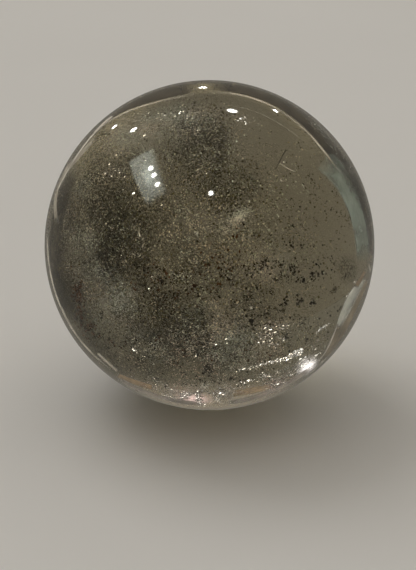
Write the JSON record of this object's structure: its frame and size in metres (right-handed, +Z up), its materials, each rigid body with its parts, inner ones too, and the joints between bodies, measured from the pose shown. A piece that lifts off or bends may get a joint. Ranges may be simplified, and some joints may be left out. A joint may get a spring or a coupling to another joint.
{
  "type": "garden quartz sphere",
  "caption": "Polished ball of clear smoky quartz with dark grains, pale threads and veils inside, resting on a small flat spot ground on its underside.",
  "frame": {"origin": "middle of the flat spot on the underside, on the surface the ball stands on", "axes": "+Z up through the ball's centre, -Y towards the viewer of the picture, +X to the viewer's right"},
  "size_m": [0.08, 0.08, 0.0797],
  "materials": {
    "quartz": "clear smoky quartz with a high polish"
  },
  "bodies": {
    "root": {"quartz_sphere": "quartz"}
  },
  "joints": []
}
